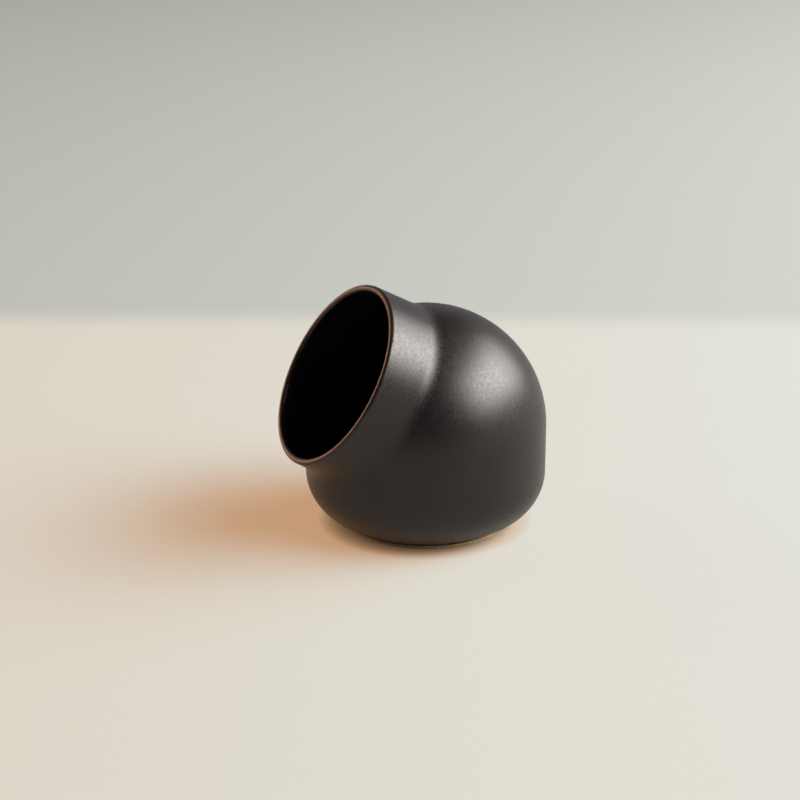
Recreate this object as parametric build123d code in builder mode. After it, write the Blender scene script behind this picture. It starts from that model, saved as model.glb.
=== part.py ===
from math import cos, radians, sin, sqrt, tan
import os

from build123d import *

# A stoneware salt pig: a round pot under a closed dome, with a wide slanted collar to reach into.
# Millimetres and degrees. The origin is the middle of the foot on the table, +Z is up, the mouth faces -Y.

# Body, round about Z: a curved base, an upright wall and half a ball on top
body_radius = 57.5
body_wall = 4.5
base_curve_radius = 24.8
shoulder_height = 48.6

# Foot, the narrow ring that the pot stands on
foot_radius = 39.3
foot_height = 2.5
foot_width = 6.0
foot_inset = 0.3
foot_edge = 0.3

# Collar, a tube about its own slanted axis, which starts on Z above the shoulder and narrows a little
# towards the mouth. Its length counts from where such a tube would leave a ball of the body's radius.
collar_tilt = 60.0
collar_lift = 3.7
collar_length = 19.2
collar_radius = 45.0
collar_wall = 3.2
collar_draft = 1.9

# Blends where the collar leaves the body, and the neck left standing for the collar to sit on
outer_blend = 12.0
inner_blend = 15.0
neck_height = 7.0

# Lip, the rounded edge of the mouth, with a short straight land under the rounding
lip_land = 0.8

# Heights, axes and planes that follow from the sizes above
curve_centre = body_radius - base_curve_radius
wall_start = foot_height + sqrt(base_curve_radius**2 - (foot_radius - curve_centre) ** 2)
floor_height = wall_start - (base_curve_radius - body_wall)
collar_reach = sqrt(body_radius**2 - collar_radius**2) + collar_length
lip_round = collar_wall / 2
lip_seat = collar_reach - lip_round - lip_land
bore_end = lip_seat + body_radius
tilt_sin = sin(radians(collar_tilt))
tilt_cos = cos(radians(collar_tilt))
collar_root = (0, 0, shoulder_height + collar_lift)
collar_axis = Axis(collar_root, (0, -tilt_sin, tilt_cos))
collar_plane = Plane(collar_root, x_dir=(0, -tilt_cos, -tilt_sin), z_dir=(-1, 0, 0))
shoulder_plane = Plane.XY.offset(shoulder_height)
dome_axis = Axis(shoulder_plane.origin, (0, 1, 0))


def collar_radius_at(distance):
    """Outer radius of the collar at a distance along its axis."""
    return collar_radius + (lip_seat - distance) * tan(radians(collar_draft))


def pot_form(wall, tube_wall, tube_end, low_corner, blend):
    """The pot as a full form, inside the given walls: a round body with the slanted tube blended into it.

    Returns the form, and the box round the crease where the two meet before they are blended.
    """
    radius = body_radius - wall
    with BuildPart() as form:
        with BuildSketch(Plane.YZ):
            with BuildLine():
                Line((0, low_corner[1]), low_corner)
                RadiusArc(low_corner, (radius, wall_start), wall - base_curve_radius)
                Line((radius, wall_start), (radius, shoulder_height))
                Line((radius, shoulder_height), (0, shoulder_height))
                Line((0, shoulder_height), (0, low_corner[1]))
            make_face()
        revolve(axis=Axis.Z)
        with BuildSketch(shoulder_plane):
            with BuildLine():
                CenterArc((0, 0), radius, -90, 180)
                Line((0, -radius), (0, radius))
            make_face()
        revolve(axis=dome_axis, revolution_arc=-180)
        with BuildSketch(collar_plane):
            with BuildLine():
                Polyline(
                    (0, 0),
                    (collar_radius_at(0) - tube_wall, 0),
                    (collar_radius_at(tube_end) - tube_wall, tube_end),
                    (0, tube_end),
                    close=True,
                )
            make_face()
        revolve(axis=collar_axis)
        crease = form.edges(Select.NEW).filter_by(GeomType.BSPLINE)
        crease_box = Compound(crease).bounding_box()
        fillet(crease, blend)
    return form.part, crease_box


# The whole shell: the outside of the pot, less its hollow, which runs out past the mouth
outside, crease_box = pot_form(0, 0, lip_seat, (foot_radius, foot_height), outer_blend)
hollow, _ = pot_form(body_wall, collar_wall, bore_end, (curve_centre, floor_height), inner_blend)

with BuildPart() as shell:
    add(outside)
    add(hollow, mode=Mode.SUBTRACT)

# The neck is cut flat along the crease, a little way up the tube
crease_low = (0, crease_box.min.Y, crease_box.min.Z)
crease_slope = (0, crease_box.min.Z - crease_box.max.Z, crease_box.max.Y - crease_box.min.Y)
neck_plane = Plane(crease_low, x_dir=(1, 0, 0), z_dir=crease_slope).offset(neck_height)

# Bowl: floor, curved base and upright wall, with the lower half of the neck
with BuildPart() as bowl:
    add(shell.part)
    split(bisect_by=shoulder_plane, keep=Keep.BOTTOM)
    split(bisect_by=neck_plane, keep=Keep.BOTTOM)

# Dome: the half ball on the shoulder, with the upper half of the neck
with BuildPart() as dome:
    add(shell.part)
    split(bisect_by=shoulder_plane, keep=Keep.TOP)
    split(bisect_by=neck_plane, keep=Keep.BOTTOM)

# Collar: the tube from the neck to the seat of the lip
with BuildPart() as collar:
    add(shell.part)
    split(bisect_by=neck_plane, keep=Keep.TOP)

# Lip: a rounded ring on the end of the collar
with BuildPart() as lip:
    lip_inner = collar_radius - collar_wall
    with BuildSketch(collar_plane):
        with BuildLine():
            Polyline(
                (lip_inner, lip_seat + lip_land),
                (lip_inner, lip_seat),
                (collar_radius, lip_seat),
                (collar_radius, lip_seat + lip_land),
            )
            ThreePointArc(
                (collar_radius, lip_seat + lip_land),
                (collar_radius - lip_round, collar_reach),
                (lip_inner, lip_seat + lip_land),
            )
        make_face()
    revolve(axis=collar_axis)

# Foot ring: a low flat ring under the bowl, with its lower edges wiped off
with BuildPart() as foot_ring:
    with BuildSketch():
        Circle(foot_radius - foot_inset)
        Circle(foot_radius - foot_inset - foot_width, mode=Mode.SUBTRACT)
    extrude(amount=foot_height)
    chamfer(foot_ring.edges().group_by(Axis.Z)[0], foot_edge)

bowl.part.label = "bowl"
dome.part.label = "dome"
collar.part.label = "collar"
lip.part.label = "lip"
foot_ring.part.label = "foot_ring"

os.makedirs("parts", exist_ok=True)
for piece in (bowl, dome, collar, lip, foot_ring):
    export_step(piece.part, f"parts/{piece.part.label}.step")
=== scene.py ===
from math import cos, radians, sin

import bmesh
import bpy
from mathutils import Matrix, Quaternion, Vector

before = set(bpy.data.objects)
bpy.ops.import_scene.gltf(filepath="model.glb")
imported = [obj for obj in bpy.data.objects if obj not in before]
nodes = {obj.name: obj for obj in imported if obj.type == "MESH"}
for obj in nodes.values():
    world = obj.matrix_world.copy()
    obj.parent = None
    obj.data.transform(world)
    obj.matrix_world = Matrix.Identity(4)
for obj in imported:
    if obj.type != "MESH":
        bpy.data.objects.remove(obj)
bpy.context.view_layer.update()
print("frame loaded:", sorted(nodes))

perMetre = 1000  # millimetres in a metre, the scene's unit

# a Mix node has sockets of one name for each kind of data, so they go by number
mixFactor = 0
mixNumberA = 2
mixNumberB = 3
mixNumberOut = 0
mixColourA = 6
mixColourB = 7
mixColourOut = 2


def srgb(hexColour):
    # hex colour as a painter would pick it, turned to the linear values that shaders want
    channels = [int(hexColour[i:i + 2], 16) / 255 for i in (1, 3, 5)]
    linear = [c / 12.92 if c <= 0.04045 else ((c + 0.055) / 1.055) ** 2.4 for c in channels]
    return (*linear, 1.0)


def newMaterial(name):
    material = bpy.data.materials.new(name)
    material.use_nodes = True
    tree = material.node_tree
    tree.nodes.clear()
    return material, tree


def addNode(tree, kind, settings=None, links=None):
    # one node: settings go to its properties or, by name or number, to its inputs; links feed its inputs
    node = tree.nodes.new(kind)
    for key, value in (settings or {}).items():
        if isinstance(key, str) and hasattr(node, key):
            setattr(node, key, value)
        else:
            node.inputs[key].default_value = value
    for key, socket in (links or {}).items():
        tree.links.new(socket, node.inputs[key])
    return node


def dress(names, material):
    for name in names:
        slots = nodes[name].data.materials
        slots.clear()
        slots.append(material)


# Satin black glaze: an iron-rich stoneware glaze, sprayed on and fired.
# The eye gets a deep warm black with one broad soft highlight, and a fine grain where the light catches it.
glaze = {
    "deep": "#0e0605",
    "warm": "#180b09",
    "ior": 1.49,
    "smooth": 0.34,
    "matt": 0.45,
    "grainMm": 1.15,  # the real grit is finer, drawn coarser so that it shows
    "grainDetail": 2.0,
    "grainRoughness": 0.6,
    "grainSpread": (0.35, 0.65),  # the noise values that count as smooth and as matt
    "grainLiftMm": 0.032,
    "cloudMm": 22.0,
    "cloudDetail": 3.0,
    "cloudSpread": (0.3, 0.7),  # the noise values that count as deep and as warm
    "speckCellMm": 7.0,
    "speckMm": 0.5,
    "speckShare": 0.06,
    "speckColour": "#5a5550",
}


def glazeNodes(tree, place):
    # colour, roughness and bump of the glaze, for the walls and for the lip and foot where it stops
    cloud = addNode(
        tree, "ShaderNodeTexNoise",
        {"Scale": perMetre / glaze["cloudMm"], "Detail": glaze["cloudDetail"]},
        {"Vector": place})
    warmth = addNode(
        tree, "ShaderNodeMapRange",
        {"From Min": glaze["cloudSpread"][0], "From Max": glaze["cloudSpread"][1]},
        {"Value": cloud.outputs["Fac"]})
    tone = addNode(
        tree, "ShaderNodeMix",
        {"data_type": "RGBA", mixColourA: srgb(glaze["deep"]), mixColourB: srgb(glaze["warm"])},
        {mixFactor: warmth.outputs["Result"]})
    # a pale speck in a few of the cells
    cells = addNode(
        tree, "ShaderNodeTexVoronoi", {"Scale": perMetre / glaze["speckCellMm"]}, {"Vector": place})
    rare = addNode(
        tree, "ShaderNodeMath", {"operation": "LESS_THAN", 1: glaze["speckShare"]},
        {0: cells.outputs["Color"]})
    spot = addNode(
        tree, "ShaderNodeMapRange",
        {"From Min": glaze["speckMm"] / glaze["speckCellMm"], "From Max": 0.0},
        {"Value": cells.outputs["Distance"]})
    speck = addNode(
        tree, "ShaderNodeMath", {"operation": "MULTIPLY"},
        {0: rare.outputs[0], 1: spot.outputs["Result"]})
    colour = addNode(
        tree, "ShaderNodeMix", {"data_type": "RGBA", mixColourB: srgb(glaze["speckColour"])},
        {mixFactor: speck.outputs[0], mixColourA: tone.outputs[mixColourOut]})
    grain = addNode(
        tree, "ShaderNodeTexNoise",
        {"Scale": perMetre / glaze["grainMm"], "Detail": glaze["grainDetail"],
         "Roughness": glaze["grainRoughness"]},
        {"Vector": place})
    rough = addNode(
        tree, "ShaderNodeMapRange",
        {"From Min": glaze["grainSpread"][0], "From Max": glaze["grainSpread"][1],
         "To Min": glaze["smooth"], "To Max": glaze["matt"]},
        {"Value": grain.outputs["Fac"]})
    lift = addNode(
        tree, "ShaderNodeBump", {"Strength": 1.0, "Distance": glaze["grainLiftMm"] / perMetre},
        {"Height": grain.outputs["Fac"]})
    return colour.outputs[mixColourOut], rough.outputs["Result"], lift.outputs["Normal"]


def makeGlaze():
    material, tree = newMaterial("satinBlackGlaze_sprayedAndFired")
    place = addNode(tree, "ShaderNodeTexCoord").outputs["Object"]
    colour, rough, lift = glazeNodes(tree, place)
    shader = addNode(
        tree, "ShaderNodeBsdfPrincipled", {"IOR": glaze["ior"]},
        {"Base Color": colour, "Roughness": rough, "Normal": lift})
    addNode(tree, "ShaderNodeOutputMaterial", links={"Surface": shader.outputs["BSDF"]})
    return material


dress(("bowl", "dome", "collar"), makeGlaze())
print("glazed walls done")


def bareClayNodes(tree, piece, away, mottle, colour, rough):
    # clay up to a ragged edge at the piece's bareMm from where away is nought, and the glaze beyond
    ragged = addNode(
        tree, "ShaderNodeMath", {"operation": "MULTIPLY_ADD", 1: piece["ragMm"] / perMetre},
        {0: mottle, 2: away})
    edge = (piece["bareMm"] + piece["ragMm"] / 2) / perMetre
    bare = addNode(
        tree, "ShaderNodeMapRange",
        {"interpolation_type": "SMOOTHSTEP", "From Min": edge + piece["fadeMm"] / perMetre,
         "From Max": edge},
        {"Value": ragged.outputs[0]})
    warmth = addNode(
        tree, "ShaderNodeMapRange",
        {"From Min": piece["claySpread"][0], "From Max": piece["claySpread"][1]},
        {"Value": mottle})
    clay = addNode(
        tree, "ShaderNodeMix",
        {"data_type": "RGBA", mixColourA: srgb(piece["clayDark"]), mixColourB: srgb(piece["clay"])},
        {mixFactor: warmth.outputs["Result"]})
    skin = addNode(
        tree, "ShaderNodeMix", {"data_type": "RGBA"},
        {mixFactor: bare.outputs["Result"], mixColourA: colour, mixColourB: clay.outputs[mixColourOut]})
    feel = addNode(
        tree, "ShaderNodeMix", {"data_type": "FLOAT", mixNumberB: piece["rough"]},
        {mixFactor: bare.outputs["Result"], mixNumberA: rough})
    return skin.outputs[mixColourOut], feel.outputs[mixNumberOut]


# Lip: the glaze runs thin over the rounded edge and breaks to red-brown clay along the crest.
# The eye gets a thin warm line round the dark mouth.
lip = {
    "clay": "#a8623f",
    "clayDark": "#77412a",
    "claySpread": (0.35, 0.65),
    "rootMm": 52.3,  # where the collar's axis leaves the upright axis
    "tiltDegrees": 60.0,
    "crestRadiusMm": 43.2,
    "crestReachMm": 54.99,
    "bareMm": 0.45,
    "fadeMm": 0.8,
    "ragMm": 0.5,
    "rough": 0.3,
    "patchMm": 4.0,
    "patchDetail": 4.0,
}


def makeLip():
    material, tree = newMaterial("glazeBrokenToRedClay_wipedLip")
    place = addNode(tree, "ShaderNodeTexCoord").outputs["Object"]
    colour, rough, lift = glazeNodes(tree, place)
    # distance from the lip's crest, in the section through the collar's axis
    turned = addNode(
        tree, "ShaderNodeMapping",
        {"vector_type": "TEXTURE", "Location": (0, 0, lip["rootMm"] / perMetre),
         "Rotation": (radians(lip["tiltDegrees"]), 0, 0)},
        {"Vector": place})
    along = addNode(tree, "ShaderNodeSeparateXYZ", links={0: turned.outputs["Vector"]})
    across = addNode(tree, "ShaderNodeCombineXYZ", links={0: along.outputs["X"], 1: along.outputs["Y"]})
    radius = addNode(tree, "ShaderNodeVectorMath", {"operation": "LENGTH"}, {0: across.outputs[0]})
    section = addNode(
        tree, "ShaderNodeCombineXYZ", links={0: radius.outputs["Value"], 1: along.outputs["Z"]})
    crest = (lip["crestRadiusMm"] / perMetre, lip["crestReachMm"] / perMetre, 0)
    offCrest = addNode(
        tree, "ShaderNodeVectorMath", {"operation": "DISTANCE", 1: crest}, {0: section.outputs[0]})
    patch = addNode(
        tree, "ShaderNodeTexNoise", {"Scale": perMetre / lip["patchMm"], "Detail": lip["patchDetail"]},
        {"Vector": place})
    skin, feel = bareClayNodes(tree, lip, offCrest.outputs["Value"], patch.outputs["Fac"], colour, rough)
    shader = addNode(
        tree, "ShaderNodeBsdfPrincipled", {"IOR": glaze["ior"]},
        {"Base Color": skin, "Roughness": feel, "Normal": lift})
    addNode(tree, "ShaderNodeOutputMaterial", links={"Surface": shader.outputs["BSDF"]})
    return material


dress(("lip",), makeLip())
print("lip done")

# Foot: bare stoneware, wiped clean where it stands in the kiln, with the glaze stopping just above.
# The eye gets a thin pale gritty line under the pot.
foot = {
    "clay": "#e8cea4",
    "clayDark": "#c9a97e",
    "claySpread": (0.35, 0.65),
    "bareMm": 1.2,
    "fadeMm": 0.2,
    "ragMm": 0.3,
    "rough": 0.85,
    "gritMm": 1.2,
    "gritDetail": 4.0,
    "gritLiftMm": 0.03,
}


def makeFoot():
    material, tree = newMaterial("bareStoneware_wipedFoot")
    place = addNode(tree, "ShaderNodeTexCoord").outputs["Object"]
    colour, rough, lift = glazeNodes(tree, place)
    height = addNode(tree, "ShaderNodeSeparateXYZ", links={0: place})
    grit = addNode(
        tree, "ShaderNodeTexNoise", {"Scale": perMetre / foot["gritMm"], "Detail": foot["gritDetail"]},
        {"Vector": place})
    skin, feel = bareClayNodes(tree, foot, height.outputs["Z"], grit.outputs["Fac"], colour, rough)
    rub = addNode(
        tree, "ShaderNodeBump", {"Strength": 1.0, "Distance": foot["gritLiftMm"] / perMetre},
        {"Height": grit.outputs["Fac"], "Normal": lift})
    shader = addNode(
        tree, "ShaderNodeBsdfPrincipled", {"IOR": glaze["ior"]},
        {"Base Color": skin, "Roughness": feel, "Normal": rub.outputs["Normal"]})
    addNode(tree, "ShaderNodeOutputMaterial", links={"Surface": shader.outputs["BSDF"]})
    return material


dress(("foot_ring",), makeFoot())
print("foot done")

# Floor: a plain pale plaster board, far larger than the view, that turns a little cooler behind the pot.
# The eye gets a matt ground with a soft warm shadow, and painted contact shadow close under the pot.
floorLook = {
    "near": "#648d9b",
    "far": "#949a96",
    "nearGlow": "#c2966e",
    "farGlow": "#5a5956",
    "turnDegrees": 65.11,  # the view's azimuth, so that the change of tone runs level across the view
    "changeMm": 336.0,
    "fadeMm": 60.0,
    "contactMm": 8.0,
    # colour of the painted contact shadow close under the pot
    "contactShadeTone": "#aa957a",
    "contactSamples": 8,
    "size": 14.0,
}


def makeFloor():
    mesh = bpy.data.meshes.new("floor")
    board = bmesh.new()
    bmesh.ops.create_grid(board, x_segments=1, y_segments=1, size=floorLook["size"] / 2)
    board.to_mesh(mesh)
    board.free()
    floor = bpy.data.objects.new("floor", mesh)
    bpy.context.scene.collection.objects.link(floor)
    material, tree = newMaterial("paleBoard_mattPlaster")
    place = addNode(tree, "ShaderNodeTexCoord").outputs["Object"]
    turned = addNode(
        tree, "ShaderNodeMapping",
        {"vector_type": "TEXTURE", "Rotation": (0, 0, radians(floorLook["turnDegrees"]))},
        {"Vector": place})
    depth = addNode(tree, "ShaderNodeSeparateXYZ", links={0: turned.outputs["Vector"]})
    change = floorLook["changeMm"] / perMetre
    halfFade = floorLook["fadeMm"] / perMetre / 2
    behind = addNode(
        tree, "ShaderNodeMapRange",
        {"interpolation_type": "SMOOTHSTEP", "From Min": change - halfFade, "From Max": change + halfFade},
        {"Value": depth.outputs["Y"]})
    tone = addNode(
        tree, "ShaderNodeMix",
        {"data_type": "RGBA", mixColourA: srgb(floorLook["near"]), mixColourB: srgb(floorLook["far"])},
        {mixFactor: behind.outputs["Result"]})
    # painted contact shadow: close under the pot, by ambient occlusion, the board is painted browner and
    # darker, and the glow fades
    clear = addNode(
        tree, "ShaderNodeAmbientOcclusion",
        {"samples": floorLook["contactSamples"], "Distance": floorLook["contactMm"] / perMetre})
    contactShaded = addNode(
        tree, "ShaderNodeMix", {"data_type": "RGBA", mixColourA: srgb(floorLook["contactShadeTone"])},
        {mixFactor: clear.outputs["AO"], mixColourB: tone.outputs[mixColourOut]})
    matt = addNode(tree, "ShaderNodeBsdfDiffuse", links={"Color": contactShaded.outputs[mixColourOut]})
    # a pale glow that is only seen, by the eye and in reflections, and lights nothing; it fades under the
    # pot as painted contact shadow
    paths = addNode(tree, "ShaderNodeLightPath").outputs
    direct = addNode(
        tree, "ShaderNodeMath", {"operation": "ADD"},
        {0: paths["Is Camera Ray"], 1: paths["Is Glossy Ray"]})
    seen = addNode(
        tree, "ShaderNodeMath", {"operation": "ADD", "use_clamp": True},
        {0: direct.outputs[0], 1: paths["Is Transmission Ray"]})
    strength = addNode(
        tree, "ShaderNodeMath", {"operation": "MULTIPLY"}, {0: seen.outputs[0], 1: clear.outputs["AO"]})
    glowTone = addNode(
        tree, "ShaderNodeMix",
        {"data_type": "RGBA", mixColourA: srgb(floorLook["nearGlow"]),
         mixColourB: srgb(floorLook["farGlow"])},
        {mixFactor: behind.outputs["Result"]})
    glow = addNode(
        tree, "ShaderNodeEmission",
        links={"Color": glowTone.outputs[mixColourOut], "Strength": strength.outputs[0]})
    both = addNode(
        tree, "ShaderNodeAddShader", links={0: matt.outputs["BSDF"], 1: glow.outputs["Emission"]})
    addNode(tree, "ShaderNodeOutputMaterial", links={"Surface": both.outputs["Shader"]})
    mesh.materials.append(material)


makeFloor()
print("floor done")

# Light: one wide softbox to the right of the view, brighter in the middle, a small warm fill to the left,
# a dim cool lamp behind, and a room that is pale low down. Azimuths are counted as the view's is.
lamps = {
    "softbox": {
        "azimuth": 157.5,
        "elevation": 35.0,
        "roll": -9.0,
        "width": 4.45,
        "height": 1.88,
        "watts": 218.0,
        "colour": "#fffaf5",
    },
    "softboxCore": {
        "azimuth": 152.0,
        "elevation": 36.0,
        "roll": -9.0,
        "width": 2.2,
        "height": 1.2,
        "watts": 82.0,
        "colour": "#fffaf5",
    },
    "fill": {
        "azimuth": 310.0,
        "elevation": 15.0,
        "roll": 0.0,
        "width": 1.4,
        "height": 1.4,
        "watts": 26.0,
        "colour": "#ffcb9a",
    },
    "back": {
        "azimuth": 245.0,
        "elevation": 20.0,
        "roll": 0.0,
        "width": 4.5,
        "height": 1.6,
        "watts": 7.0,
        "colour": "#f0f4ff",
    },
}
room = {
    "lampAim": (0.0, 0.0, 0.06),
    "lampDistance": 3.0,
    "colour": "#f0f4ff",
    "low": 0.28,
    "high": 0.06,
    "fade": 0.25,  # height of the fade, as a share of the way up
}


def addLamp(name, lamp):
    data = bpy.data.lights.new(name, "AREA")
    data.shape = "RECTANGLE"
    data.size = lamp["width"]
    data.size_y = lamp["height"]
    data.energy = lamp["watts"]
    data.color = srgb(lamp["colour"])[:3]
    azimuth = radians(lamp["azimuth"])
    elevation = radians(lamp["elevation"])
    across = cos(elevation)
    direction = Vector((sin(azimuth) * across, -cos(azimuth) * across, sin(elevation)))
    holder = bpy.data.objects.new(name, data)
    holder.location = Vector(room["lampAim"]) + direction * room["lampDistance"]
    turn = direction.to_track_quat("Z", "Y") @ Quaternion((0, 0, 1), radians(lamp["roll"]))
    holder.rotation_euler = turn.to_euler()
    bpy.context.scene.collection.objects.link(holder)


def makeRoom():
    world = bpy.data.worlds.new("studio")
    world.use_nodes = True
    tree = world.node_tree
    tree.nodes.clear()
    way = addNode(tree, "ShaderNodeTexCoord").outputs["Generated"]
    up = addNode(tree, "ShaderNodeSeparateXYZ", links={0: way})
    level = addNode(
        tree, "ShaderNodeMapRange",
        {"interpolation_type": "SMOOTHSTEP", "From Min": 0.0, "From Max": room["fade"],
         "To Min": room["low"], "To Max": room["high"]},
        {"Value": up.outputs["Z"]})
    walls = addNode(
        tree, "ShaderNodeBackground", {"Color": srgb(room["colour"])},
        {"Strength": level.outputs["Result"]})
    addNode(tree, "ShaderNodeOutputWorld", links={"Surface": walls.outputs["Background"]})
    bpy.context.scene.world = world


for name, lamp in lamps.items():
    addLamp(name, lamp)
makeRoom()
print("lights done")

# Camera at the photograph's viewing angle
view = {
    "lens": 90.0,
    "sensor": 36.0,
    "place": (0.81699, -0.379, 0.36785),
    "aim": (-0.005, -0.01117, 0.06011),
}


def makeCamera():
    data = bpy.data.cameras.new("camera")
    data.lens = view["lens"]
    data.sensor_width = view["sensor"]
    data.dof.use_dof = False
    camera = bpy.data.objects.new("camera", data)
    camera.location = view["place"]
    gaze = Vector(view["aim"]) - Vector(view["place"])
    camera.rotation_euler = gaze.to_track_quat("-Z", "Y").to_euler()
    bpy.context.scene.collection.objects.link(camera)
    bpy.context.scene.camera = camera


makeCamera()
bpy.context.scene.view_settings.view_transform = "Standard"
print("camera done")
